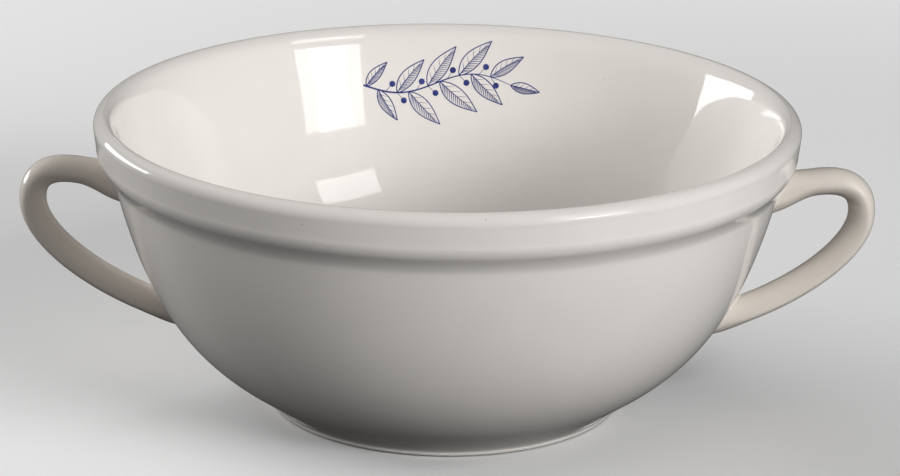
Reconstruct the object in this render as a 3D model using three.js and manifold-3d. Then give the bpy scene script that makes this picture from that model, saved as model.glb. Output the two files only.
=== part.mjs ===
// Handled soup bowl in glazed stoneware: a turned bowl with a banded rim and a low foot ring, and two loop
// handles luted to its wall with slip. Millimetres, +Z up. The origin is the centre of the foot ring on the
// table, and the handles lie along +X and -X.
import * as THREE from 'three';
import { mergeVertices } from 'three/addons/utils/BufferGeometryUtils.js';
import Module from 'manifold-3d';

// Bowl, measured on the finished ware
const RIM_DIAMETER = 152;
const BOWL_HEIGHT = 65.2;
const FOOT_DIAMETER = 77;
const WALL_THICKNESS = 3.8;
const FLOOR_THICKNESS = 5;
const FLOOR_DISH = 3;

// Rim: a plain raised band, rounded into the lip above and undercut into the wall below
const BAND_HEIGHT = 10;
const BAND_STEP = 2.7;
const BAND_DRAFT = 0.5;
const BAND_LOWER_ROUND = 2.8;
const BAND_UNDERCUT_DEG = 30;
const LIP_OUTER_ROUND = 2.4;
const LIP_INNER_ROUND = 2.8;

// Wall: nearly straight under the band, then a full belly that runs flat to the foot
const WALL_FLARE_DEG = 12.7;
const WALL_STRAIGHTNESS = 32.7;
const BELLY_RISE_DEG = 28;
const BELLY_SPREAD = 20.8;

// Foot ring
const FOOT_HEIGHT = 2.3;
const FOOT_DRAFT = 0.4;
const FOOT_EDGE_ROUND = 1;
const FOOT_RING_WIDTH = 5.2;
const FOOT_RECESS = 1.6;

// Handle: a loop of D section whose ends swell where they meet the wall
const HANDLE_REACH = 16.9;
const HANDLE_BREADTH = 8.3;
const HANDLE_THICKNESS = 5.8;
const UPPER_JOINT_BELOW_BAND = 7.5;
const UPPER_JOINT_THICKNESS = 8.2;
const UPPER_RISE_DEG = 22;
const UPPER_RUN = 10;
const LOWER_JOINT_HEIGHT = 18.9;
const LOWER_JOINT_THICKNESS = 7;
const LOWER_RISE_DEG = 16;
const LOWER_RUN = 16;
const TIP_BELOW_UPPER_JOINT = 3.8;
const BEND_ABOVE_TIP = 8.6;
const BEND_BELOW_TIP = 9.2;
const JOINT_SWELL_LENGTH = 9;
const INNER_FACE_SQUARENESS = 4;
const WIDEST_ABOVE_INNER_FACE = 2.2;

// Slip joints: a pad of slip between wall and handle, squeezed out into a bead round the handle's end
const SLIP_THICKNESS = 0.9;
const SLIP_BEAD = 0.9;
const JOINT_GAP = 0.3;

// Facets and tolerances
const TURNED_SEGMENTS = 88;
const WALL_STEPS = 12;
const FLOOR_STEPS = 5;
const ROUND_STEPS = 3;
const HANDLE_STEPS = 34;
const SECTION_STEPS = 18;
const BISECTIONS = 40;
const SAME_POINT = 1e-4;

const rimRadius = RIM_DIAMETER / 2;
const footRadius = FOOT_DIAMETER / 2;
const bandFootHeight = BOWL_HEIGHT - BAND_HEIGHT;
const bandFootRadius = rimRadius - BAND_DRAFT;
const upperJointHeight = bandFootHeight - UPPER_JOINT_BELOW_BAND;
const handleTipHeight = upperJointHeight - TIP_BELOW_UPPER_JOINT;
const slipSeat = JOINT_GAP + SLIP_THICKNESS;
const handleSeat = slipSeat + JOINT_GAP;

// The two ends of the handle's middle line, as shares of its length, and the squareness of a plain ellipse
const UPPER_END = 0;
const LOWER_END = 1;
const ELLIPSE = 2;

const wasm = await Module();
wasm.setup();

const creamGlaze = new THREE.MeshStandardMaterial({ color: 0xe6e1d8, roughness: 0.14, metalness: 0 });
const handleGlaze = new THREE.MeshStandardMaterial({ color: 0xe2dbce, roughness: 0.16, metalness: 0 });
const slipGlaze = new THREE.MeshStandardMaterial({ color: 0xdfd8ca, roughness: 0.2, metalness: 0 });

function polar(angleDeg, length) {
  const angle = THREE.MathUtils.degToRad(angleDeg);
  return new THREE.Vector2(Math.cos(angle), Math.sin(angle)).multiplyScalar(length);
}

// Points of a profile, as (radius, height), without repeats where two stretches meet.
function joinStretches(...stretches) {
  const points = stretches.flat();
  return points.filter((point, i) => i === 0 || point.distanceTo(points[i - 1]) > SAME_POINT);
}

// An arc of a profile about a centre, between two angles.
function roundedCorner(centreRadius, centreHeight, radius, fromDeg, toDeg) {
  const clockwise = toDeg < fromDeg;
  const from = THREE.MathUtils.degToRad(fromDeg);
  const to = THREE.MathUtils.degToRad(toDeg);
  const arc = new THREE.EllipseCurve(centreRadius, centreHeight, radius, radius, from, to, clockwise);
  return arc.getPoints(ROUND_STEPS);
}

// Outside of the wall, from the top of the foot ring up to the crease under the rim band.
const wallFlare = 90 - WALL_FLARE_DEG;
const wallFoot = new THREE.Vector2(footRadius - FOOT_DRAFT, FOOT_HEIGHT);
const wallCrease = new THREE.Vector2(bandFootRadius - BAND_STEP, bandFootHeight);
const outerWall = new THREE.CubicBezierCurve(
  wallFoot,
  wallFoot.clone().add(polar(BELLY_RISE_DEG, BELLY_SPREAD)),
  wallCrease.clone().sub(polar(wallFlare, WALL_STRAIGHTNESS)),
  wallCrease,
);

// The point of the outer wall at a height.
function wallAt(height) {
  let low = 0;
  let high = 1;
  for (let i = 0; i < BISECTIONS; i += 1) {
    const middle = (low + high) / 2;
    if (outerWall.getPoint(middle).y < height) low = middle;
    else high = middle;
  }
  return outerWall.getPoint(low);
}

// A point beside the outer wall, at a share of the way up it, moved away from the wall by a distance.
function besideWall(share, distance) {
  const tangent = outerWall.getTangent(share);
  const outward = new THREE.Vector2(tangent.y, -tangent.x);
  return outerWall.getPoint(share).addScaledVector(outward, distance);
}

// The rounded lower edge of the band, moved outwards by a distance.
function bandLowerEdge(distance, fromDeg) {
  return roundedCorner(
    bandFootRadius - BAND_LOWER_ROUND,
    bandFootHeight + BAND_LOWER_ROUND,
    BAND_LOWER_ROUND + distance,
    fromDeg,
    0,
  );
}

// The rounded inner edge of the lip, which runs straight into the inside of the wall. It takes no more of the
// lip than the outer edge leaves.
function lipInnerEdge() {
  const flare = THREE.MathUtils.degToRad(WALL_FLARE_DEG);
  const innerCrease = besideWall(1, -WALL_THICKNESS);
  const mouthRadius = innerCrease.x + (BOWL_HEIGHT - innerCrease.y) * Math.tan(flare);
  const lipLeft = rimRadius - LIP_OUTER_ROUND - mouthRadius;
  const roundPerWidth = 1 / Math.cos(flare) - Math.tan(flare);
  const round = Math.min(LIP_INNER_ROUND, lipLeft / roundPerWidth);
  return roundedCorner(
    mouthRadius + round * roundPerWidth,
    BOWL_HEIGHT - round,
    round,
    90,
    180 - WALL_FLARE_DEG,
  );
}

// Inside of the bowl, from the crease down. The wall thickens to the foot, then dishes into the floor.
function innerSide() {
  const floorHeight = FOOT_RECESS + FLOOR_THICKNESS;
  const footSlope = THREE.MathUtils.degToRad(BELLY_RISE_DEG);
  const footThickness = (floorHeight + FLOOR_DISH - FOOT_HEIGHT) / Math.cos(footSlope);
  const wall = Array.from({ length: WALL_STEPS + 1 }, (_, i) => {
    const share = 1 - i / WALL_STEPS;
    return besideWall(share, -THREE.MathUtils.lerp(footThickness, WALL_THICKNESS, share));
  });
  const wallEnd = wall[WALL_STEPS];
  const floorBend = new THREE.Vector2(wallEnd.x - FLOOR_DISH / Math.tan(footSlope), floorHeight);
  const floorMiddle = new THREE.Vector2(0, floorHeight);
  const floor = new THREE.QuadraticBezierCurve(wallEnd, floorBend, floorMiddle);
  return [...wall, ...floor.getPoints(FLOOR_STEPS)];
}

// Whole section of the bowl, from the middle of its underside round the rim to the middle of its floor.
function bowlProfile() {
  const ringInner = footRadius - FOOT_RING_WIDTH;
  const underside = [
    new THREE.Vector2(0, FOOT_RECESS),
    new THREE.Vector2(ringInner - FOOT_RECESS, FOOT_RECESS),
    new THREE.Vector2(ringInner, 0),
  ];
  const footEdge = roundedCorner(footRadius - FOOT_EDGE_ROUND, FOOT_EDGE_ROUND, FOOT_EDGE_ROUND, -90, 0);
  const lipOuter = roundedCorner(
    rimRadius - LIP_OUTER_ROUND,
    BOWL_HEIGHT - LIP_OUTER_ROUND,
    LIP_OUTER_ROUND,
    0,
    90,
  );
  return joinStretches(
    underside,
    footEdge,
    outerWall.getPoints(WALL_STEPS),
    bandLowerEdge(0, BAND_UNDERCUT_DEG - 90),
    lipOuter,
    lipInnerEdge(),
    innerSide(),
  );
}

// Keeps positions only, shares the vertices and drops the slivers that a turned pole leaves.
function weld(geometry) {
  geometry.deleteAttribute('normal');
  geometry.deleteAttribute('uv');
  const welded = mergeVertices(geometry, SAME_POINT);
  const source = welded.index.array;
  const kept = [];
  for (let i = 0; i < source.length; i += 3) {
    const [a, b, c] = source.slice(i, i + 3);
    if (a !== b && b !== c && c !== a) kept.push(a, b, c);
  }
  welded.setIndex(kept);
  return welded;
}

// Turns a profile of (radius, height) points about +Z.
function turned(profile) {
  return weld(new THREE.LatheGeometry(profile, TURNED_SEGMENTS).rotateX(Math.PI / 2));
}

// A welded shape as a solid that can be cut and joined, and back again.
function toSolid(geometry) {
  const triVerts = new Uint32Array(geometry.index.array);
  const vertProperties = new Float32Array(geometry.attributes.position.array);
  return new wasm.Manifold(new wasm.Mesh({ numProp: 3, vertProperties, triVerts }));
}

function toGeometry(solid) {
  const { vertProperties, triVerts } = solid.getMesh();
  const geometry = new THREE.BufferGeometry();
  geometry.setAttribute('position', new THREE.BufferAttribute(vertProperties, 3));
  geometry.setIndex(new THREE.BufferAttribute(triVerts, 1));
  return geometry;
}

// Everything within a distance of the bowl's outside: the wall, and the band that overhangs it.
function bowlGrownBy(distance) {
  const wall = Array.from({ length: WALL_STEPS + 1 }, (_, i) => besideWall(i / WALL_STEPS, distance));
  const top = wall[WALL_STEPS];
  const wallCore = turned([
    new THREE.Vector2(0, wall[0].y),
    ...wall,
    new THREE.Vector2(top.x, BOWL_HEIGHT),
    new THREE.Vector2(0, BOWL_HEIGHT),
  ]);
  const bandRing = turned([
    new THREE.Vector2(0, bandFootHeight - distance),
    ...bandLowerEdge(distance, -90),
    new THREE.Vector2(rimRadius + distance, BOWL_HEIGHT),
    new THREE.Vector2(0, BOWL_HEIGHT),
  ]);
  return toSolid(wallCore).add(toSolid(bandRing));
}

// Middle line of the handle in the plane of (radius, height): out of the wall, over, and back to it.
function handleLine() {
  const upperEnd = wallAt(upperJointHeight);
  const lowerEnd = wallAt(LOWER_JOINT_HEIGHT);
  const tip = new THREE.Vector2(rimRadius + HANDLE_REACH - HANDLE_THICKNESS / 2, handleTipHeight);
  const line = new THREE.CurvePath();
  line.add(new THREE.CubicBezierCurve(
    upperEnd,
    upperEnd.clone().add(polar(UPPER_RISE_DEG, UPPER_RUN)),
    tip.clone().add(new THREE.Vector2(0, BEND_ABOVE_TIP)),
    tip,
  ));
  line.add(new THREE.CubicBezierCurve(
    tip,
    tip.clone().sub(new THREE.Vector2(0, BEND_BELOW_TIP)),
    lowerEnd.clone().add(polar(LOWER_RISE_DEG, LOWER_RUN)),
    lowerEnd,
  ));
  return line;
}

// One ring of the D section about its widest line: rounded on the outside of the loop, nearly flat on the
// side the fingers touch.
function sectionRing(centre, tangent, thickness, breadth) {
  const outward = new THREE.Vector2(-tangent.y, tangent.x);
  const widest = WIDEST_ABOVE_INNER_FACE - thickness / 2;
  return Array.from({ length: SECTION_STEPS }, (_, i) => {
    const turn = (2 * Math.PI * i) / SECTION_STEPS;
    const inside = Math.sin(turn) < 0;
    const squareness = inside ? INNER_FACE_SQUARENESS : ELLIPSE;
    const depth = inside ? WIDEST_ABOVE_INNER_FACE : thickness - WIDEST_ABOVE_INNER_FACE;
    const across = Math.sign(Math.cos(turn)) * Math.abs(Math.cos(turn)) ** (ELLIPSE / squareness);
    const deep = Math.sign(Math.sin(turn)) * Math.abs(Math.sin(turn)) ** (ELLIPSE / squareness);
    const at = centre.clone().addScaledVector(outward, widest + deep * depth);
    return new THREE.Vector3(at.x, (across * breadth) / 2, at.y);
  });
}

// Skins a row of rings into one closed body, with a flat fan over each end.
function loft(rings) {
  const middles = [rings[0], rings[rings.length - 1]].map((ring) => {
    const sum = ring.reduce((total, point) => total.add(point), new THREE.Vector3());
    return sum.divideScalar(ring.length);
  });
  const positions = [...rings.flat(), ...middles].flatMap((point) => point.toArray());
  const count = rings[0].length;
  const lastRing = (rings.length - 1) * count;
  const firstMiddle = rings.length * count;
  const index = [];
  for (let k = 0; k < count; k += 1) {
    const next = (k + 1) % count;
    for (let ring = 0; ring < lastRing; ring += count) {
      index.push(ring + k, ring + next, ring + count + k);
      index.push(ring + next, ring + count + next, ring + count + k);
    }
    index.push(firstMiddle, next, k);
    index.push(firstMiddle + 1, lastRing + k, lastRing + next);
  }
  const geometry = new THREE.BufferGeometry();
  geometry.setAttribute('position', new THREE.Float32BufferAttribute(positions, 3));
  geometry.setIndex(index);
  return geometry;
}

// Thickness of the handle at a distance from its upper end: its own, swelling into each joint.
function handleThickness(distance, length) {
  const nearUpper = 1 - THREE.MathUtils.smoothstep(distance, 0, JOINT_SWELL_LENGTH);
  const nearLower = 1 - THREE.MathUtils.smoothstep(length - distance, 0, JOINT_SWELL_LENGTH);
  return HANDLE_THICKNESS
    + (UPPER_JOINT_THICKNESS - HANDLE_THICKNESS) * nearUpper
    + (LOWER_JOINT_THICKNESS - HANDLE_THICKNESS) * nearLower;
}

// A ring on the straight line of one end of the loop, a distance along it; margin widens it all round.
function stubRing(line, end, distance, margin) {
  const tangent = line.getTangentAt(end);
  const thickness = end === UPPER_END ? UPPER_JOINT_THICKNESS : LOWER_JOINT_THICKNESS;
  const centre = line.getPointAt(end).addScaledVector(tangent, distance);
  return sectionRing(centre, tangent, thickness + 2 * margin, HANDLE_BREADTH + 2 * margin);
}

// The whole loop, its ends carried on into the wall so that the wall can trim them.
function handleRings() {
  const line = handleLine();
  const length = line.getLength();
  const rings = Array.from({ length: HANDLE_STEPS + 1 }, (_, i) => {
    const share = i / HANDLE_STEPS;
    return sectionRing(
      line.getPointAt(share),
      line.getTangentAt(share),
      handleThickness(share * length, length),
      HANDLE_BREADTH,
    );
  });
  return [
    stubRing(line, UPPER_END, -UPPER_JOINT_THICKNESS, 0),
    ...rings,
    stubRing(line, LOWER_END, LOWER_JOINT_THICKNESS, 0),
  ];
}

// The right-hand handle, trimmed to sit on its slip joints.
function handleSolid() {
  return toSolid(loft(handleRings())).subtract(bowlGrownBy(handleSeat));
}

// The slip pad at one end of the right-hand handle: a layer on the wall, a bead wider than the handle's end.
function slipSolid(end) {
  const line = handleLine();
  const reach = UPPER_JOINT_THICKNESS + LOWER_JOINT_THICKNESS;
  const rings = [-reach, reach].map((distance) => stubRing(line, end, distance, SLIP_BEAD));
  return toSolid(loft(rings)).intersect(bowlGrownBy(slipSeat)).subtract(bowlGrownBy(JOINT_GAP));
}

function addPiece(group, name, geometry, material) {
  const mesh = new THREE.Mesh(geometry, material);
  mesh.name = name;
  group.add(mesh);
}

const soupBowl = new THREE.Group();
addPiece(soupBowl, 'bowl_body', turned(bowlProfile()), creamGlaze);

const handle = toGeometry(handleSolid());
const upperSlip = toGeometry(slipSolid(UPPER_END));
const lowerSlip = toGeometry(slipSolid(LOWER_END));
const sides = [
  ['right', 0],
  ['left', Math.PI],
];
for (const [side, turn] of sides) {
  const fittings = new THREE.Group();
  fittings.rotation.z = turn;
  addPiece(fittings, `${side}_handle`, handle, handleGlaze);
  addPiece(fittings, `${side}_upper_slip_joint`, upperSlip, slipGlaze);
  addPiece(fittings, `${side}_lower_slip_joint`, lowerSlip, slipGlaze);
  soupBowl.add(fittings);
}

export default soupBowl;
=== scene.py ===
import math

import bpy
import numpy as np
from mathutils import Matrix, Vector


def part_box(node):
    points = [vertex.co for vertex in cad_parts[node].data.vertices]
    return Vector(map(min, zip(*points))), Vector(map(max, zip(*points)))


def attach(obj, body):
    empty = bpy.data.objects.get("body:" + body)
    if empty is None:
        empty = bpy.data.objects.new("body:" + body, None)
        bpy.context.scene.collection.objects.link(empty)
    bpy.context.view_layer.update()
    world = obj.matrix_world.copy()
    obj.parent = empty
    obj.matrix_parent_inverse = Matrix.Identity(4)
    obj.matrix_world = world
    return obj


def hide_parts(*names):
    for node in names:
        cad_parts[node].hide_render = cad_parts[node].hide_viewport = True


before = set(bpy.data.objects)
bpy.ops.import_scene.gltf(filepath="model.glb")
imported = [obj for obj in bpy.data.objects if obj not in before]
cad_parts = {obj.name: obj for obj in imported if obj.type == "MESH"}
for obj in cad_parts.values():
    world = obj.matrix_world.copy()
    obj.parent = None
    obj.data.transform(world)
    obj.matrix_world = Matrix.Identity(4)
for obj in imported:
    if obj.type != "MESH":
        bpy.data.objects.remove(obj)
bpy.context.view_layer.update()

# Bowl: cream stoneware, jiggered in one piece over a plaster mould, so rim band, lip and foot ring are one clay.
# It is dipped in a cream glaze, which runs thin over edges and pools in hollows, and it is fired standing on
# its foot ring, which is wiped bare. Sizes in millimetres, angles in degrees.
MM = 0.001
RIM_RADIUS, _, BOWL_HEIGHT = np.array(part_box("bowl_body")[1]) / MM
FOOT_RADIUS = 38.5
FOOT_HEIGHT = 2.3
FOOT_DRAFT = 0.4
FOOT_EDGE_ROUND = 0.9
FOOT_RING_WIDTH = 5.2
FOOT_RECESS = 1.6
FOOT_SOFTENING = 1.1
FOOT_COVE_REACH = 9.0
WALL_THICKNESS = 3.8
WALL_FLARE = 12.7
WALL_STRAIGHTNESS = 32.7
BELLY_RISE = 28.0
BELLY_SPREAD = 20.8
BAND_HEIGHT = 10.0
BAND_STEP = 2.7
BAND_DRAFT = 0.5
BAND_LOWER_ROUND = 5.0
BAND_ROUND_RISE = 3.4
BAND_ROUND_STARTS_AT = -41.0
CREASE_SOFTENING = 1.6
LIP_OUTER_ROUND = 2.4
LIP_EASED_DOWN = 5.0
LIP_EASED_ACROSS = 1.85
FLOOR_THICKNESS = 5.0
FLOOR_DISH = 3.0
BOWL_SEGMENTS = 240
UNDERSIDE_POINTS = 12
FOOT_EDGE_POINTS = 8
COVE_POINTS = 20
WALL_POINTS = 81
HOLLOW_POINTS = 14
BAND_ROUND_POINTS = 14
LIP_OUTER_POINTS = 18
LIP_INNER_POINTS = 24
STRAIGHT_POINTS = 8
FLOOR_POINTS = 26


def polar(angle, length):
    """Step of a length at an angle above the horizontal: length times (cos, sin)."""
    return length * np.array([math.cos(math.radians(angle)), math.sin(math.radians(angle))])


def arc(centre, radius, start, end, points):
    """Points of a circle: the centre plus the radius at evenly spaced angles from start to end."""
    angle = np.radians(np.linspace(start, end, points))
    return np.array(centre) + radius * np.stack([np.cos(angle), np.sin(angle)], axis=1)


def bezier(controls, points):
    """Bernstein curve: the sum of the controls, each times C(n, i) (1 - t)^(n - i) t^i, at even shares t."""
    degree = len(controls) - 1
    power = np.arange(degree + 1)
    chosen = np.array([math.comb(degree, i) for i in power])
    t = np.linspace(0, 1, points)[:, None]
    return (chosen * (1 - t) ** (degree - power) * t**power) @ np.array(controls)


def unit(vector):
    """Vectors of length one: each divided by the root of the sum of its squares."""
    return vector / np.linalg.norm(vector, axis=-1, keepdims=True)


def heading(line):
    """Unit direction of a line of points at each of them, from the differences of its neighbours."""
    return unit(np.gradient(line, axis=0))


def length_along(line):
    """Distance of each point of a line from its first one, along the line: the running sum of its steps."""
    return np.concatenate([[0], np.cumsum(np.linalg.norm(np.diff(line, axis=0), axis=1))])


def read_off(place, places, columns):
    """Values between the rows of a table: each column interpolated straight from its own places to others."""
    return np.stack([np.interp(place, places, column) for column in columns.T], axis=-1)


def beside(line, distance):
    """The line moved to its right-hand side by a distance: each point plus its turned heading times it."""
    along = heading(line)
    return line + np.stack([along[:, 1], -along[:, 0]], axis=1) * np.reshape(distance, (-1, 1))


def softened(before, corner, after, leg, points=9):
    """Corner eased by a quadratic curve that starts a leg before the corner and ends a leg after it."""
    return bezier([corner + unit(before - corner) * leg, corner, corner + unit(after - corner) * leg], points)


def crossing(point, direction, other, other_direction):
    """Where two lines cross: solves point + a direction = other + b other_direction for a and b."""
    share = np.linalg.solve(np.stack([direction, -other_direction], axis=1), other - point)
    return point + share[0] * direction


band_foot = np.array([RIM_RADIUS - BAND_DRAFT, BOWL_HEIGHT - BAND_HEIGHT])
wall_foot = np.array([FOOT_RADIUS - FOOT_DRAFT, FOOT_HEIGHT])
wall_crease = band_foot - [BAND_STEP, 0]
wall_up = polar(90 - WALL_FLARE, 1)
wall_controls = [
    wall_foot,
    wall_foot + polar(BELLY_RISE, BELLY_SPREAD),
    wall_crease - wall_up * WALL_STRAIGHTNESS,
    wall_crease,
]
outer_wall = bezier(wall_controls, WALL_POINTS)
wall_length = length_along(outer_wall)

# The wall thins steadily from the foot to the crease, and its inside runs straight on from there to the lip.
floor_height = FOOT_RECESS + FLOOR_THICKNESS
foot_thickness = (floor_height + FLOOR_DISH - FOOT_HEIGHT) / math.cos(math.radians(BELLY_RISE))
inner_wall = beside(outer_wall, -np.interp(wall_length, wall_length[[0, -1]], [foot_thickness, WALL_THICKNESS]))
inside_up = heading(inner_wall)[-1]
mouth_corner = inner_wall[-1] + inside_up * (BOWL_HEIGHT - inner_wall[-1, 1]) / inside_up[1]

# The underside and the foot ring, as one run from the middle outwards. The ring flows into the wall through a
# soft cove.
ring_inner = FOOT_RADIUS - FOOT_RING_WIDTH
recess_corner = np.array([ring_inner - FOOT_RECESS, FOOT_RECESS])
ring_corner = np.array([ring_inner, 0])
foot_side = np.array([FOOT_RADIUS, FOOT_EDGE_ROUND])
above_foot = np.argmax(wall_length > FOOT_COVE_REACH)
cove_end = outer_wall[above_foot]
cove_corner = crossing(foot_side, np.array([0, 1]), cove_end, heading(outer_wall)[above_foot])
underside = np.linspace([0, FOOT_RECESS], recess_corner - [2 * FOOT_SOFTENING, 0], UNDERSIDE_POINTS)
foot = np.concatenate(
    [
        underside,
        softened(underside[0], recess_corner, ring_corner, FOOT_SOFTENING),
        softened(recess_corner, ring_corner, foot_side * [1, 0], FOOT_SOFTENING),
        arc(foot_side - [FOOT_EDGE_ROUND, 0], FOOT_EDGE_ROUND, -90, 0, FOOT_EDGE_POINTS),
        bezier([foot_side, cove_corner, cove_end], COVE_POINTS)[1:-1],
    ]
)

# The band, whose rounded lower edge runs back into the wall through a hollow that the glaze fills, and the lip.
band_round_centre = band_foot + [-BAND_LOWER_ROUND, BAND_ROUND_RISE]
band_round = arc(band_round_centre, BAND_LOWER_ROUND, BAND_ROUND_STARTS_AT, 0, BAND_ROUND_POINTS)
hollow_corner = crossing(wall_crease, wall_up, band_round[0], polar(BAND_ROUND_STARTS_AT + 90, 1))
hollow_start = hollow_corner - wall_up * CREASE_SOFTENING
hollow = bezier([hollow_start, hollow_corner, band_round[0]], HOLLOW_POINTS)[:-1]
wall_below_hollow = outer_wall[outer_wall[:, 1] < hollow_start[1]]
lip_outer_centre = np.array([RIM_RADIUS, BOWL_HEIGHT]) - LIP_OUTER_ROUND
lip_outer = arc(lip_outer_centre, LIP_OUTER_ROUND, 0, 90, LIP_OUTER_POINTS)
lip_ends = mouth_corner + [LIP_EASED_ACROSS, 0], mouth_corner - inside_up * LIP_EASED_DOWN
lip_inner = bezier([lip_ends[0], mouth_corner, lip_ends[1]], LIP_INNER_POINTS)
band_face = np.linspace(band_round[-1], lip_outer[0], STRAIGHT_POINTS)[1:-1]
inside_lip = np.linspace(lip_inner[-1], inner_wall[-1], STRAIGHT_POINTS)[1:-1]
floor_bend = inner_wall[0] - [FLOOR_DISH / math.tan(math.radians(BELLY_RISE)), FLOOR_DISH]
dished_floor = bezier([inner_wall[0], floor_bend, [0, floor_height]], FLOOR_POINTS)
outside = np.concatenate([wall_below_hollow[above_foot:], hollow, band_round, band_face, lip_outer])
inside = np.concatenate([lip_inner, inside_lip, inner_wall[::-1], dished_floor[1:]])
bowl_profile = np.concatenate([foot, outside, inside])

EVEN_GLAZE = 0.5


def glaze_depth(profile, edge_effect=1.2, spread=0.8, step=0.2):
    """How the glaze lies along a profile: the even depth less its turn per millimetre times the edge effect, where
    the turn is smoothed by a bell curve of the given spread. Low on outer edges, high in hollows."""
    length = length_along(profile)
    even = np.arange(0, length[-1], step)
    along = np.diff(read_off(even, length, profile), axis=0)
    turn = np.gradient(np.unwrap(np.arctan2(along[:, 1], along[:, 0]))) / step
    reach = np.arange(-4 * spread, 4 * spread, step)
    bell = np.exp(-0.5 * (reach / spread) ** 2)
    smooth = np.convolve(turn, bell / bell.sum(), mode="same")
    return np.clip(EVEN_GLAZE - edge_effect * np.interp(length, even[:-1], smooth), 0, 1)


def grid_faces(rows, columns, closed_rows=False):
    """Quads of a grid whose columns close into rings: each point with its neighbours one row and column on."""
    row = np.arange(rows if closed_rows else rows - 1)[:, None] * columns
    next_row = (row + columns) % (rows * columns)
    column = np.arange(columns)[None, :]
    next_column = (column + 1) % columns
    corners = [row + column, row + next_column, next_row + next_column, next_row + column]
    return np.stack(corners, axis=-1).reshape(-1, 4)


def capped_faces(rows, columns):
    """Quads of a grid of rings, and triangles from its first and last ring to the two points that follow it."""
    ring = np.arange(columns)
    onward = (ring + 1) % columns
    last = (rows - 1) * columns
    first_cap = np.stack([np.full(columns, rows * columns), onward, ring], axis=1)
    last_cap = np.stack([np.full(columns, rows * columns + 1), last + ring, last + onward], axis=1)
    return grid_faces(rows, columns).tolist() + first_cap.tolist() + last_cap.tolist()


def once_round(steps):
    """Even angles from 0 to 2 pi, without the last."""
    return np.linspace(0, 2 * math.pi, steps, endpoint=False)


def turned(profile, segments):
    """Surface of revolution: (r cos a, r sin a, h) for each profile point (r, h), with one point at each pole."""
    turn = once_round(segments)
    radius, height = profile[1:-1, 0, None], profile[1:-1, 1, None]
    rings = np.stack([radius * np.cos(turn), radius * np.sin(turn), height + 0 * turn], axis=-1)
    poles = np.array([[0, 0, profile[0, 1]], [0, 0, profile[-1, 1]]])
    return np.concatenate([rings.reshape(-1, 3), poles]), capped_faces(len(profile) - 2, segments)


def shown_piece(name, points, faces, material, depth=None, smooth=True):
    """Mesh object at the origin from points in millimetres, with the depth of its glaze on each point."""
    mesh = bpy.data.meshes.new(name)
    mesh.from_pydata((np.asarray(points) * MM).tolist(), [], faces)
    if smooth:
        mesh.shade_smooth()
    if depth is not None:
        mesh.attributes.new("glaze_depth", "FLOAT", "POINT").data.foreach_set("value", np.ravel(depth))
    mesh.materials.append(material)
    piece = bpy.data.objects.new(name, mesh)
    bpy.context.scene.collection.objects.link(piece)
    return piece


class Wire:
    """One output of a material's nodes. Arithmetic with wires and numbers adds Math nodes; node adds any other."""

    def __init__(self, socket):
        self.socket = socket

    def node(self, kind, settings, sockets, output=0):
        """A node of a kind: its settings come first, then a value or a wire for each of its sockets."""
        tree = self.socket.id_data
        made = tree.nodes.new(kind)
        for name, value in settings.items():
            setattr(made, name, value)
        for name, value in sockets.items():
            if isinstance(value, Wire):
                tree.links.new(value.socket, made.inputs[name])
            else:
                made.inputs[name].default_value = value
        return Wire(made.outputs[output])

    def into(self, socket):
        """Links this output to a socket of a shader."""
        self.socket.id_data.links.new(self.socket, socket)

    def math(self, operation, first, second):
        """A Math node of an operation on two values."""
        return self.node("ShaderNodeMath", {"operation": operation}, {0: first, 1: second})

    def __add__(self, other):
        return self.math("ADD", self, other)

    def __sub__(self, other):
        return self.math("SUBTRACT", self, other)

    def __rsub__(self, other):
        return self.math("SUBTRACT", other, self)

    def __mul__(self, other):
        return self.math("MULTIPLY", self, other)

    __radd__ = __add__
    __rmul__ = __mul__


def mixed(share, first, second):
    """Colour between two colours, by a share that is a wire."""
    return share.node("ShaderNodeMix", {"data_type": "RGBA"}, {0: share, 6: first, 7: second}, 2)


def darker(colour, share):
    """Colour whose red, green and blue are each times a share."""
    return [share * part for part in colour[:3]] + [1]


def cloud(coords, size, detail=2.0):
    """Noise between 0 and 1, whose patches are about a size in millimetres across."""
    sockets = {"Vector": coords, "Scale": 1 / (size * MM), "Detail": detail}
    return coords.node("ShaderNodeTexNoise", {}, sockets, "Fac")


def ramp(value, low, high):
    """Smooth step of a value from 0 at low to 1 at high."""
    settings = {"interpolation_type": "SMOOTHSTEP"}
    return value.node("ShaderNodeMapRange", settings, {"Value": value, "From Min": low, "From Max": high})


def new_material(name):
    """Empty material, with its shader and a wire that carries the place on the piece."""
    material = bpy.data.materials.new(name)
    material.use_nodes = True
    nodes = material.node_tree.nodes
    place = Wire(nodes.new("ShaderNodeTexCoord").outputs["Object"])
    return material, nodes["Principled BSDF"], place


# The glaze's own ways: limits are pairs of low and high, and depths are those of glaze_depth.
GLAZE_IOR = 1.52
CLOUD_SIZE = 24.0
CLOUD_LIMITS = 0.3, 0.7
CLOUD_DARKENS_TO = 0.972
THIN_LIMITS = 0.1, 0.45
POOLED_LIMITS = 0.52, 0.85
SPECK_SPACING = 4.5
SPECK_EDGE_LIMITS = 0.02, 0.05
SPECK_RARITY_LIMITS = 0.9, 0.92
SPECK_STRENGTH = 0.45
IRON_SPECK = (0.16, 0.10, 0.06, 1)
GLAZE_ROUGHNESS = 0.025
ROUGHNESS_WANDERS = 0.035
ROUGHNESS_PATCH = 9.0
ROUGHNESS_LIMITS = 0.3, 0.8
RIPPLE_SIZE = 15.0
RIPPLE_DEPTH = 0.10
FINE_RIPPLE_SIZE = 1.6
FINE_RIPPLE_SHARE = 0.012


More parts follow.
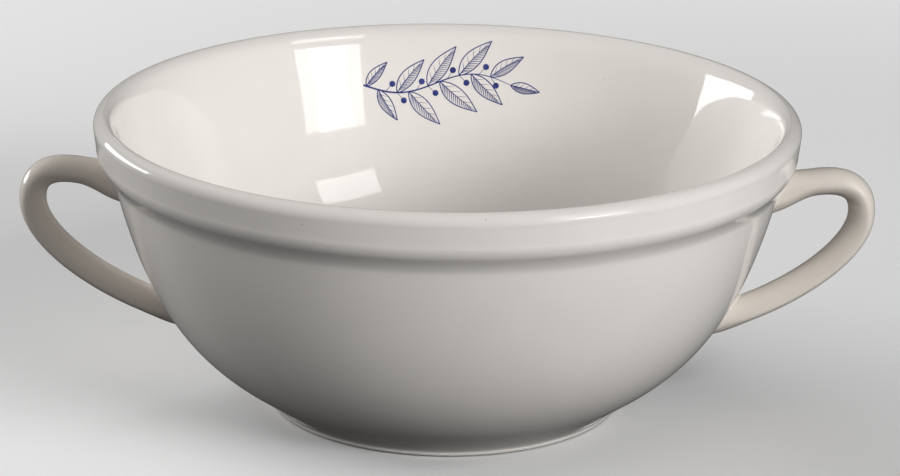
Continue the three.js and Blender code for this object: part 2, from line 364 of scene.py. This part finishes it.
def fired_glaze(name, tint, thin_tint, pooled_tint):
    """Glossy glaze: clouded tint, darker where it is thin and where it pools, with a few iron specks, a gloss that
    wanders a little and the slow ripple of a glaze that ran in the kiln. Also returns what a piece may add to."""
    material, shader, place = new_material(name)
    depth = place.node("ShaderNodeAttribute", {"attribute_name": "glaze_depth"}, {}, "Fac")
    clouded = mixed(ramp(cloud(place, CLOUD_SIZE), *CLOUD_LIMITS), tint, darker(tint, CLOUD_DARKENS_TO))
    edged = mixed(1 - ramp(depth, *THIN_LIMITS), clouded, thin_tint)
    pooled = mixed(ramp(depth, *POOLED_LIMITS), edged, pooled_tint)
    speck_cells = {"Vector": place, "Scale": 1 / (SPECK_SPACING * MM)}
    near_speck = place.node("ShaderNodeTexVoronoi", {}, speck_cells, "Distance")
    rare = place.node("ShaderNodeTexVoronoi", {}, speck_cells, "Color")
    rare = rare.node("ShaderNodeSeparateColor", {}, {"Color": rare}, "Red")
    speck = (1 - ramp(near_speck, *SPECK_EDGE_LIMITS)) * ramp(rare, *SPECK_RARITY_LIMITS)
    colour = mixed(speck * SPECK_STRENGTH, pooled, IRON_SPECK)
    wandering = ramp(cloud(place, ROUGHNESS_PATCH), *ROUGHNESS_LIMITS) * ROUGHNESS_WANDERS
    roughness = GLAZE_ROUGHNESS + wandering
    ripple = cloud(place, RIPPLE_SIZE, 1.0) + cloud(place, FINE_RIPPLE_SIZE, 0.0) * FINE_RIPPLE_SHARE
    bump_sockets = {"Height": ripple, "Strength": 1.0, "Distance": RIPPLE_DEPTH * MM}
    normal = ripple.node("ShaderNodeBump", {}, bump_sockets)
    normal.into(shader.inputs["Normal"])
    colour.into(shader.inputs["Base Color"])
    roughness.into(shader.inputs["Roughness"])
    shader.inputs["IOR"].default_value = GLAZE_IOR
    return material, shader, place, colour, roughness


CREAM_GLAZE = (0.80, 0.765, 0.73, 1)
CREAM_GLAZE_THIN = (0.73, 0.698, 0.666, 1)
CREAM_GLAZE_POOLED = (0.73, 0.695, 0.655, 1)
BARE_CLAY = (0.62, 0.55, 0.46, 1)
CLAY_GRAIN = 0.7
CLAY_DARKENS_TO = 0.8
CLAY_ROUGHNESS = 0.7
WIPED_UP_TO = 0.25
GLAZED_FROM = 0.45
WIPED_EDGE_WANDERS = 0.3
WIPED_EDGE_PATCH = 3.0
cream_glaze, cream_shader, on_bowl, cream_colour, cream_roughness = fired_glaze(
    "cream_glaze", CREAM_GLAZE, CREAM_GLAZE_THIN, CREAM_GLAZE_POOLED
)
bowl_level = on_bowl.node("ShaderNodeSeparateXYZ", {}, {"Vector": on_bowl}, "Z")
edge_level = bowl_level + cloud(on_bowl, WIPED_EDGE_PATCH) * (WIPED_EDGE_WANDERS * MM)
wiped = 1 - ramp(edge_level, WIPED_UP_TO * MM, GLAZED_FROM * MM)
clay = mixed(cloud(on_bowl, CLAY_GRAIN), BARE_CLAY, darker(BARE_CLAY, CLAY_DARKENS_TO))
mixed(wiped, cream_colour, clay).into(cream_shader.inputs["Base Color"])
(cream_roughness * (1 - wiped) + wiped * CLAY_ROUGHNESS).into(cream_shader.inputs["Roughness"])

bowl_points, bowl_faces = turned(bowl_profile, BOWL_SEGMENTS)
bowl_depth = glaze_depth(bowl_profile)
bowl_depth = np.concatenate([np.repeat(bowl_depth[1:-1], BOWL_SEGMENTS), bowl_depth[[0, -1]]])
bowl = shown_piece("glazed_bowl", bowl_points, bowl_faces, cream_glaze, bowl_depth)
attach(bowl, "root")
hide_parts("bowl_body")

# Handles: two loops of oval section, cast in the same clay and luted on when leather hard. They swell towards the
# wall, and the section's broadest line runs from the inner side above to the outer side at the tip and below.
# Their glaze is warmer and darker than the bowl's: partly its own colour, partly painted shade and bounce light.
HANDLE_BREADTH = 8.3
HANDLE_THICKNESS = 5.8
UPPER_JOINT_BELOW_BAND = 7.5
UPPER_JOINT_THICKNESS = 8.2
UPPER_RISE = 22.0
UPPER_RUN = 10.0
LOWER_JOINT_HEIGHT = 18.9
LOWER_JOINT_THICKNESS = 7.0
LOWER_RISE = 16.0
LOWER_RUN = 16.0
TIP_BELOW_UPPER_JOINT = 3.8
BEND_ABOVE_TIP = 8.6
BEND_BELOW_TIP = 9.2
JOINT_SWELL = 9.0
INNER_SIDE_FULLNESS = 1.75
OUTER_SIDE_FULLNESS = 2.0
BROADEST_ABOVE_INNER_FACE = [2.8, 2.8, 4.3, 4.0]
BROADEST_AT_SHARE = [0, 0.18, 0.42, 1]
END_SUNK_IN_WALL = 1.2
HALF_LOOP_POINTS = 400
HANDLE_ROWS = 150
HANDLE_COLUMNS = 56
HALVINGS = 40
# Handle glaze colours, darker and warmer than the bowl's: partly the glaze's own, partly painted shade and bounce
# light.
HANDLE_GLAZE_AND_SHADE = (0.705, 0.648, 0.585, 1)
HANDLE_GLAZE_THIN_AND_SHADE = (0.69, 0.625, 0.555, 1)
HANDLE_GLAZE_POOLED_AND_SHADE = (0.645, 0.588, 0.525, 1)

upper_end = np.array([0, band_foot[1] - UPPER_JOINT_BELOW_BAND])
lower_end = np.array([0, LOWER_JOINT_HEIGHT])
upper_end[0], lower_end[0] = np.interp([upper_end[1], lower_end[1]], outer_wall[:, 1], outer_wall[:, 0])
handle_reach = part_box("right_handle")[1].x / MM
tip = np.array([handle_reach - HANDLE_THICKNESS / 2, upper_end[1] - TIP_BELOW_UPPER_JOINT])
over = [upper_end, upper_end + polar(UPPER_RISE, UPPER_RUN), tip + [0, BEND_ABOVE_TIP], tip]
under = [tip, tip - [0, BEND_BELOW_TIP], lower_end + polar(LOWER_RISE, LOWER_RUN), lower_end]
loop = np.concatenate([bezier(over, HALF_LOOP_POINTS), bezier(under, HALF_LOOP_POINTS)[1:]])
loop_length = length_along(loop)
handle_length = loop_length[-1]
loop_heading = heading(loop)


def smoothstep(value):
    """3 v^2 - 2 v^3 for v held between 0 and 1."""
    held = np.clip(value, 0, 1)
    return held * held * (3 - 2 * held)


def handle_point(distance, turn):
    """Point of the right handle's skin: the loop's middle line at a distance from its upper end, and straight on
    past its ends, plus an oval of |c|^(2/q) across and |s|^(2/q) deep about its broadest line, where q is the
    fullness of that side and the inside is less full than the outside."""
    held = np.clip(distance, 0, handle_length)
    along = read_off(held, loop_length, loop_heading)
    centre = read_off(held, loop_length, loop) + along * (distance - held)[..., None]
    near_upper = 1 - smoothstep(held / JOINT_SWELL)
    near_lower = 1 - smoothstep((handle_length - held) / JOINT_SWELL)
    thickness = (
        HANDLE_THICKNESS
        + (UPPER_JOINT_THICKNESS - HANDLE_THICKNESS) * near_upper
        + (LOWER_JOINT_THICKNESS - HANDLE_THICKNESS) * near_lower
    )
    cosine, sine = np.cos(turn), np.sin(turn)
    power = 2 / np.where(sine < 0, INNER_SIDE_FULLNESS, OUTER_SIDE_FULLNESS)
    broadest = np.interp(held / handle_length, BROADEST_AT_SHARE, BROADEST_ABOVE_INNER_FACE)
    depth = np.where(sine < 0, broadest, thickness - broadest)
    across = np.sign(cosine) * np.abs(cosine) ** power * HANDLE_BREADTH / 2
    deep = broadest - thickness / 2 + np.sign(sine) * np.abs(sine) ** power * depth
    return np.stack([centre[..., 0] - along[..., 1] * deep, across, centre[..., 1] + along[..., 0] * deep], axis=-1)


def meets_wall(turn, stretch, sunk):
    """Distance along the handle at which each line of its skin comes to the outer wall, or to a depth in it, by
    halving the stretch from a distance inside the wall to one outside it."""
    skin = beside(outer_wall, -sunk)
    low, high = (np.full(turn.shape, end) for end in stretch)
    for _ in range(HALVINGS):
        middle = (low + high) / 2
        point = handle_point(middle, turn)
        buried = np.hypot(point[..., 0], point[..., 1]) < np.interp(point[..., 2], skin[:, 1], skin[:, 0])
        low, high = np.where(buried, middle, low), np.where(buried, high, middle)
    return high


def other_side(points):
    """The same points turned half round the bowl's axis."""
    return points * [-1, -1, 1]


section_turn = once_round(HANDLE_COLUMNS)
upper_stretch = -JOINT_SWELL, JOINT_SWELL
lower_stretch = handle_length + JOINT_SWELL, handle_length - JOINT_SWELL
upper_start = meets_wall(section_turn, upper_stretch, END_SUNK_IN_WALL)
lower_start = meets_wall(section_turn, lower_stretch, END_SUNK_IN_WALL)
handle_share = np.linspace(0, 1, HANDLE_ROWS)[:, None]
handle_distance = upper_start + (lower_start - upper_start) * handle_share
handle_skin = handle_point(handle_distance, section_turn + 0 * handle_distance)
handle_caps = [handle_skin[row].mean(axis=0, keepdims=True) for row in (0, -1)]
handle_points = np.concatenate([handle_skin.reshape(-1, 3)] + handle_caps)
handle_faces = capped_faces(HANDLE_ROWS, HANDLE_COLUMNS)
handle_glaze = fired_glaze("handle_glaze", HANDLE_GLAZE_AND_SHADE, HANDLE_GLAZE_THIN_AND_SHADE, HANDLE_GLAZE_POOLED_AND_SHADE)[0]
handle_depth = np.full(len(handle_points), EVEN_GLAZE)
for side, placed in (("right", handle_points), ("left", other_side(handle_points))):
    handle = shown_piece(f"{side}_loop_handle", placed, handle_faces, handle_glaze, handle_depth)
    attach(handle, "root")
    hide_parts(f"{side}_handle")

# Slip joints: liquid clay that sticks a handle's ends to the wall, smoothed with a wet brush into a small hollow
# fillet all round. Glaze runs over it and pools in the hollow, and its colour goes from the handle's, with its
# painted shade and bounce light, to the bowl's.
FILLET_RADIUS = 1.5
SHORTEST_FILLET = 0.6
LONGEST_FILLET = 3.4
FILLET_ROWS = 12
FILLET_COLUMNS = 96
FILLET_SUNK = 0.7
BACK_NEAR_WALL = [1, 0.5, 0]
SLIP_POOLING = 0.2


def on_outer_wall(points):
    """The points moved level outwards or inwards until they lie on the bowl's outside."""
    reach = np.interp(points[..., 2], outside[:, 1], outside[:, 0])
    scale = reach / np.hypot(points[..., 0], points[..., 1])
    return points * np.stack([scale, scale, np.ones_like(scale)], axis=-1)


def slip_fillet(stretch, towards_handle):
    """Ring of slip: at each turn of the handle's section a quadratic curve from the handle to the wall, whose
    middle control is where the two meet, so it leaves both without an edge. Its legs are those of a round tool
    in the corner, radius / tan(half the angle between handle and wall). A sunk back closes the ring. Also says
    how near the wall each row is, from 0 on the handle to 1 on the wall."""
    turn = once_round(FILLET_COLUMNS)
    seam_distance = meets_wall(turn, stretch, 0)
    seam = handle_point(seam_distance, turn)
    seam_middle = seam.mean(axis=0)
    lean, level = read_off(seam[:, 2], outer_wall[:, 1], heading(outer_wall)).T
    spin = np.arctan2(seam[:, 1], seam[:, 0])
    wall_out = np.stack([level * np.cos(spin), level * np.sin(spin), -lean], axis=-1)
    round_seam = np.roll(seam, -1, axis=0) - np.roll(seam, 1, axis=0)
    away = unit(np.cross(round_seam, wall_out))
    away *= np.sign(np.sum(away * (seam - seam_middle), axis=1, keepdims=True))
    along_handle = unit(handle_point(seam_distance + towards_handle, turn) - seam)
    half_corner = np.arccos(np.clip(np.sum(along_handle * away, axis=1), -1, 1)) / 2
    leg = np.clip(FILLET_RADIUS / np.tan(half_corner), SHORTEST_FILLET, LONGEST_FILLET)
    on_handle = handle_point(seam_distance + towards_handle * leg, turn)
    on_wall = on_outer_wall(seam + away * leg[:, None])
    share = np.linspace(0, 1, FILLET_ROWS)[:, None, None]
    curve = (1 - share) ** 2 * on_handle + 2 * (1 - share) * share * seam + share**2 * on_wall
    sunk = wall_out * FILLET_SUNK
    inward = unit(seam_middle - sunk - seam) * FILLET_SUNK
    back = np.stack([on_wall - sunk, seam + inward - sunk, on_handle + inward])
    near_wall = np.concatenate([share[:, 0, 0], BACK_NEAR_WALL])
    return np.concatenate([curve, back]), np.repeat(near_wall, FILLET_COLUMNS)


slip_glaze, slip_shader, on_slip, slip_colour, _ = fired_glaze(
    "slip_under_glaze", HANDLE_GLAZE_AND_SHADE, HANDLE_GLAZE_THIN_AND_SHADE, HANDLE_GLAZE_POOLED_AND_SHADE
)
wall_share = on_slip.node("ShaderNodeAttribute", {"attribute_name": "near_wall"}, {}, "Fac")
# The slip's colour runs from the handle's, with its painted shade, to the bowl's cream.
mixed(wall_share, slip_colour, CREAM_GLAZE).into(slip_shader.inputs["Base Color"])
joints = {"upper": slip_fillet(upper_stretch, 1), "lower": slip_fillet(lower_stretch, -1)}
for end, (rows, near_wall) in joints.items():
    points = rows.reshape(-1, 3)
    faces = grid_faces(len(rows), FILLET_COLUMNS, closed_rows=True)
    if end == "upper":
        faces = faces[:, ::-1]
    pooling = EVEN_GLAZE + SLIP_POOLING * np.sin(math.pi * near_wall)
    for side, placed in (("right", points), ("left", other_side(points))):
        fillet = shown_piece(f"{side}_{end}_slip_fillet", placed, faces.tolist(), slip_glaze, pooling)
        fillet.data.attributes.new("near_wall", "FLOAT", "POINT").data.foreach_set("value", near_wall)
        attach(fillet, "root")
        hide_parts(f"{side}_{end}_slip_joint")

# Print: a bay branch in cobalt blue, set as a transfer inside the far wall and fired under the glaze, so it shines as
# the glaze does. It is drawn as an engraver would, in thin lines, with the lower half of each leaf hatched.
PRINT_BELOW_LIP = 14.5
STEM_HALF_LENGTH = 17.5
STEM_MIDDLE = -3.6
STEM_WAVE = 2.2
UPPER_LEAVES = 5
FIRST_LEAF_AT = 0.02
LEAF_SPACING = 0.21
LOWER_LEAVES_LATER = 0.08
LONGEST_LEAF = 11.4
SHORTEST_LEAF = 7.2
LEAF_SLENDERNESS = 0.34
LEAF_BULGE_POWER = 0.8
LEAF_BEND = 0.10
LEAF_FOLLOWS_STEM = 0.4
FIRST_LEAF_SPLAY = 60.0
LAST_LEAF_SPLAY = 44.0
MIDRIB_REACH = 0.95
HATCH_LINES = 15
HATCH_FROM = 0.07
HATCH_TO = 0.80
HATCH_SLANT = 0.13
HATCH_REACH = 0.95
VEINS = 4
VEINS_FROM = 0.15
VEINS_TO = 0.65
VEIN_REACH = 0.8
BERRY_AFTER_LEAF = 0.13
BERRY_RADIUS = 0.72
BERRY_STALK = 1.7
BERRY_SPLAY = 50.0
STEM_WIDTH = 0.44
LEAF_LINE_WIDTH = 0.25
HATCH_WIDTH = 0.22
VEIN_WIDTH = 0.13
FINEST_LINE = 0.05
LINE_TAPER = 0.9
INK_HEIGHT = 0.03
STROKE_POINTS = 24
COBALT_INK = (0.030, 0.040, 0.17, 1)
COBALT_INK_PALE = (0.055, 0.070, 0.23, 1)
INK_PATCH = 1.2
INK_ROUGHNESS = 0.04

stroke = np.linspace(0, 1, STROKE_POINTS)
thinning = np.sqrt(1 - LINE_TAPER * stroke)


def stem_point(share):
    """Point of the stem, which waves once on its way along the print: (m + l p, w sin(pi p)) for p from -1 to 1."""
    p = 2 * share - 1
    return np.stack([STEM_MIDDLE + STEM_HALF_LENGTH * p, STEM_WAVE * np.sin(math.pi * p)], axis=-1)


def stem_angle(share):
    """Angle that leaves and berries take from the stem at a share of it: a part of the slope of its wave."""
    slope = STEM_WAVE * math.pi / STEM_HALF_LENGTH * np.cos(math.pi * (2 * share - 1))
    return LEAF_FOLLOWS_STEM * np.arctan(slope)


def sprouting(share, angle, along, across):
    """Points that sprout from the stem: along a direction at an angle to level and across to its left."""
    base = stem_point(share)[:, None, None]
    cosine, sine = np.cos(angle)[:, None, None], np.sin(angle)[:, None, None]
    return base + np.stack([along * cosine - across * sine, along * sine + across * cosine], axis=-1)


each_side = np.array([1, -1])
upper_share = FIRST_LEAF_AT + LEAF_SPACING * np.arange(UPPER_LEAVES)
lower_share = upper_share[:-1] + LOWER_LEAVES_LATER
leaf_share = np.concatenate([upper_share, lower_share, [1.0]])
leaf_side = np.repeat([1, -1, 0], [len(upper_share), len(lower_share), 1])
leaf_splay = np.radians(FIRST_LEAF_SPLAY + (LAST_LEAF_SPLAY - FIRST_LEAF_SPLAY) * leaf_share) * leaf_side
leaf_length = SHORTEST_LEAF + (LONGEST_LEAF - SHORTEST_LEAF) * np.sin(math.pi * leaf_share)


def leaf_lines(along, across):
    """The same lines on every leaf, by the share t of its length and the share of its half width, which follows
    the sine of pi times t to the bulge power. Leaves bend by t^2 towards the tip of the branch."""
    spread = LEAF_SLENDERNESS / 2 * np.sin(math.pi * along**LEAF_BULGE_POWER) * across
    length = leaf_length[:, None, None]
    bend = -LEAF_BEND * leaf_side[:, None, None] * along**2
    return sprouting(leaf_share, stem_angle(leaf_share) + leaf_splay, length * along, length * (spread + bend))


hatch_start = np.linspace(HATCH_FROM, HATCH_TO, HATCH_LINES)[:, None]
vein_start = np.linspace(VEINS_FROM, VEINS_TO, VEINS)[:, None]
berry_share = np.concatenate([upper_share[:-1], lower_share]) + BERRY_AFTER_LEAF
berry_angle = stem_angle(berry_share) + np.radians(BERRY_SPLAY) * np.repeat(each_side, len(lower_share))
berry_along = BERRY_STALK + BERRY_RADIUS * (1 - np.cos(math.pi * stroke))
berry_width = 2 * BERRY_RADIUS * np.sin(math.pi * stroke)
drawn = [
    (stem_point(stroke), STEM_WIDTH * thinning),
    (leaf_lines(stroke, each_side[:, None] + 0 * stroke), LEAF_LINE_WIDTH),
    (leaf_lines(MIDRIB_REACH * stroke[None], 0), LEAF_LINE_WIDTH * thinning),
    (leaf_lines(hatch_start + HATCH_SLANT * stroke, -HATCH_REACH * stroke), HATCH_WIDTH * thinning),
    (leaf_lines(vein_start + HATCH_SLANT * stroke, VEIN_REACH * stroke), VEIN_WIDTH * thinning),
    (sprouting(berry_share, berry_angle, BERRY_STALK * stroke[None], 0 * stroke[None]), VEIN_WIDTH),
    (sprouting(berry_share, berry_angle, berry_along[None], 0 * stroke[None]), berry_width),
]
ink_lines = np.concatenate([line.reshape(-1, STROKE_POINTS, 2) for line, _ in drawn])
ink_widths = [np.broadcast_to(width, line.shape[:-1]).reshape(-1, STROKE_POINTS) for line, width in drawn]
ink_widths = np.maximum(np.concatenate(ink_widths), FINEST_LINE)


def on_inner_wall(place, lift):
    """Places (u, v) of the print laid on the inside of the far wall: at the angle pi / 2 - u / radius round the
    bowl and v up its profile, lifted off the wall by a height."""
    down = length_along(inside)
    print_radius = np.interp(PRINT_BELOW_LIP, down, inside[:, 0])
    angle = math.pi / 2 - place[..., 0] / print_radius
    laid = read_off(PRINT_BELOW_LIP - place[..., 1], down, beside(inside, lift))
    return np.stack([laid[..., 0] * np.cos(angle), laid[..., 0] * np.sin(angle), laid[..., 1]], axis=-1)


# Each line is a flat bar of four corners, half sunk in the wall, with a cap at each end.
ink_step = unit(np.gradient(ink_lines, axis=1))
ink_side = np.stack([-ink_step[..., 1], ink_step[..., 0]], axis=-1) * ink_widths[..., None] / 2
ink_corners = [(1, -INK_HEIGHT), (-1, -INK_HEIGHT), (-1, INK_HEIGHT), (1, INK_HEIGHT)]
ink_points = np.stack([on_inner_wall(ink_lines + side * ink_side, lift) for side, lift in ink_corners], axis=2)
section_size = len(ink_corners)
first_corner = np.arange(len(ink_lines))[:, None, None] * STROKE_POINTS * section_size
here = first_corner + np.arange(STROKE_POINTS - 1)[:, None] * section_size
corner, next_corner = np.arange(section_size), (np.arange(section_size) + 1) % section_size
ink_sides = np.stack(
    [here + corner, here + section_size + corner, here + section_size + next_corner, here + next_corner], axis=-1
).reshape(-1, 4)
start_caps = first_corner[:, 0] + corner
end_caps = first_corner[:, 0] + (STROKE_POINTS - 1) * section_size + corner[::-1]
ink_faces = np.concatenate([ink_sides, start_caps, end_caps])
blue_print, ink_shader, on_print = new_material("blue_print")
ink_colour = mixed(ramp(cloud(on_print, INK_PATCH), *CLOUD_LIMITS), COBALT_INK, COBALT_INK_PALE)
ink_colour.into(ink_shader.inputs["Base Color"])
ink_shader.inputs["Roughness"].default_value = INK_ROUGHNESS
ink_shader.inputs["IOR"].default_value = GLAZE_IOR
branch = shown_piece("printed_branch", ink_points.reshape(-1, 3), ink_faces.tolist(), blue_print, smooth=False)
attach(branch, "root")

# Studio: a plain pale floor, matt and painted, that the glaze mirrors only faintly and that fades into the backdrop
# far off. Two windows stand to the right and one behind to the left, which the glaze mirrors, with wide diffusers
# and fills round them that it does not.
STUDIO_FLOOR_RADIUS = 3000.0
STUDIO_FLOOR_THICKNESS = 2.0
STUDIO_FLOOR_SEGMENTS = 96
STUDIO_FLOOR_BELOW_FOOT = 0.05
STUDIO_FLOOR_ROUGHNESS = 0.8
STUDIO_FLOOR_SPECULAR = 0.2
FLOOR_SEEN = (0.80, 0.80, 0.80, 1)
FLOOR_MIRRORED = (0.13, 0.13, 0.13, 1)
FLOOR_BOUNCE = (0.03, 0.03, 0.03, 1)
FLOOR_FADES_FROM = 200.0
FLOOR_FADES_TO = 540.0
BACKDROP_TINT = (1, 1, 1, 1)
BACKDROP_SEEN = 0.80
SURROUNDING = 0.02
MIDDLE_OF_BOWL = np.array([0, 0, 45.0])
LAMP_DISTANCE = 1300.0

floor_levels = np.array([-STUDIO_FLOOR_THICKNESS, -STUDIO_FLOOR_THICKNESS, 0, 0]) - STUDIO_FLOOR_BELOW_FOOT
floor_profile = np.stack([[0, STUDIO_FLOOR_RADIUS, STUDIO_FLOOR_RADIUS, 0], floor_levels], axis=1)
floor_paint, floor_shader, on_floor = new_material("pale_floor")
floor_shader.inputs["Roughness"].default_value = STUDIO_FLOOR_ROUGHNESS
floor_shader.inputs["Specular IOR Level"].default_value = STUDIO_FLOOR_SPECULAR
seen = on_floor.node("ShaderNodeLightPath", {}, {}, "Is Camera Ray")
in_glaze = on_floor.node("ShaderNodeLightPath", {}, {}, "Is Glossy Ray")
unseen_floor = mixed(in_glaze, FLOOR_BOUNCE, FLOOR_MIRRORED)
mixed(seen, unseen_floor, FLOOR_SEEN).into(floor_shader.inputs["Base Color"])
from_bowl = on_floor.node("ShaderNodeVectorMath", {"operation": "LENGTH"}, {0: on_floor}, "Value")
far_off = ramp(from_bowl, FLOOR_FADES_FROM * MM, FLOOR_FADES_TO * MM) * seen
far_tone = seen.node("ShaderNodeEmission", {}, {"Strength": BACKDROP_SEEN})
faded = seen.node("ShaderNodeMixShader", {}, {0: far_off, 1: Wire(floor_shader.outputs[0]), 2: far_tone})
faded.into(floor_paint.node_tree.nodes["Material Output"].inputs["Surface"])
floor_mesh = turned(floor_profile, STUDIO_FLOOR_SEGMENTS)
studio_floor = shown_piece("studio_floor", *floor_mesh, floor_paint, smooth=False)

world = bpy.data.worlds.new("studio")
bpy.context.scene.world = world
world.use_nodes = True
backdrop = world.node_tree.nodes["Background"]
backdrop.inputs["Color"].default_value = BACKDROP_TINT
looked_at = Wire(backdrop.outputs[0]).node("ShaderNodeLightPath", {}, {}, "Is Camera Ray")
(SURROUNDING + looked_at * (BACKDROP_SEEN - SURROUNDING)).into(backdrop.inputs["Strength"])


def direction(azimuth, elevation):
    """Unit vector from the bowl, by azimuth from the viewer's side towards the right and elevation above level."""
    a, e = math.radians(azimuth), math.radians(elevation)
    return np.array([math.sin(a) * math.cos(e), -math.cos(a) * math.cos(e), math.sin(e)])


def facing(back, roll):
    """Turning matrix whose third column looks back along a direction and whose first is level, rolled about it."""
    right = unit(np.cross([0, 0, 1], back))
    up = np.cross(back, right)
    r = math.radians(roll)
    return np.stack([math.cos(r) * right + math.sin(r) * up, math.cos(r) * up - math.sin(r) * right, back], axis=1)


def placed_matrix(turning, place):
    """Four by four matrix of a turning and a place in millimetres."""
    matrix = np.eye(4)
    matrix[:3, :3] = turning
    matrix[:3, 3] = place * MM
    return Matrix(matrix.tolist())


def softbox(name, azimuth, elevation, width, height, radiance, roll=0.0, mirrored=True):
    """Rectangular lamp that faces the bowl, of an angular width and height in degrees as seen from there: each side
    is twice the distance times the tangent of half its angle. The glaze mirrors it or not."""
    lamp = bpy.data.lights.new(name, "AREA")
    lamp.shape = "RECTANGLE"
    lamp.size = 2 * LAMP_DISTANCE * math.tan(math.radians(width / 2)) * MM
    lamp.size_y = 2 * LAMP_DISTANCE * math.tan(math.radians(height / 2)) * MM
    lamp.energy = radiance * math.pi * lamp.size * lamp.size_y
    holder = bpy.data.objects.new(name, lamp)
    holder.visible_glossy = mirrored
    bpy.context.scene.collection.objects.link(holder)
    back = direction(azimuth, elevation)
    holder.matrix_world = placed_matrix(facing(back, roll), MIDDLE_OF_BOWL + back * LAMP_DISTANCE)


softbox("key_window_low", 47.6, 18.9, 24.6, 11.0, 5.0, roll=-8)
softbox("key_window_low_core", 47.6, 20.0, 14, 9, 5.5, roll=-8)
softbox("key_window_high", 51.9, 40.0, 23.7, 9.2, 4.8, roll=-9)
softbox("key_window_high_core", 51.9, 40.0, 13, 9.2, 3.5, roll=-9)
softbox("key_diffuser", 47.6, 21.1, 30, 14, 13.2, mirrored=False)
softbox("low_front_fill", 17, 17, 84, 18, 1.35, mirrored=False)
softbox("left_fill", -78, 24, 50, 24, 2.1, mirrored=False)
softbox("back_window", -121, 8.8, 30, 13.5, 7.0, roll=11)
softbox("back_diffuser", -128, 31, 60, 50, 2.5, mirrored=False)

# Viewer: a long lens on the near side, at the photograph's viewing angle. It looks down over the rim from about three
# quarters of a metre, rolled by a trifle and moved aside by about a millimetre for the framing, with no blur.
CAMERA_AZIMUTH = 0.7
CAMERA_ELEVATION = 18.0
CAMERA_ROLL = 0.74
CAMERA_DISTANCE = 741.0
CAMERA_AIM = np.array([0, 0, 35.0])
CAMERA_OFFSET = np.array([0.83, 1.02, 0])
CAMERA_LENS = 136.0
CAMERA_SENSOR = 36.0
CAMERA_SEES_FROM = 50.0
CAMERA_SEES_TO = 20000.0
lens = bpy.data.cameras.new("viewer")
lens.lens = CAMERA_LENS
lens.sensor_width = CAMERA_SENSOR
lens.clip_start, lens.clip_end = CAMERA_SEES_FROM * MM, CAMERA_SEES_TO * MM
viewer = bpy.data.objects.new("viewer", lens)
bpy.context.scene.collection.objects.link(viewer)
camera_back = direction(CAMERA_AZIMUTH, CAMERA_ELEVATION)
camera_turning = facing(camera_back, CAMERA_ROLL)
camera_place = CAMERA_AIM + camera_back * CAMERA_DISTANCE + camera_turning @ CAMERA_OFFSET
viewer.matrix_world = placed_matrix(camera_turning, camera_place)
bpy.context.scene.camera = viewer
bpy.context.scene.view_settings.view_transform = "Standard"
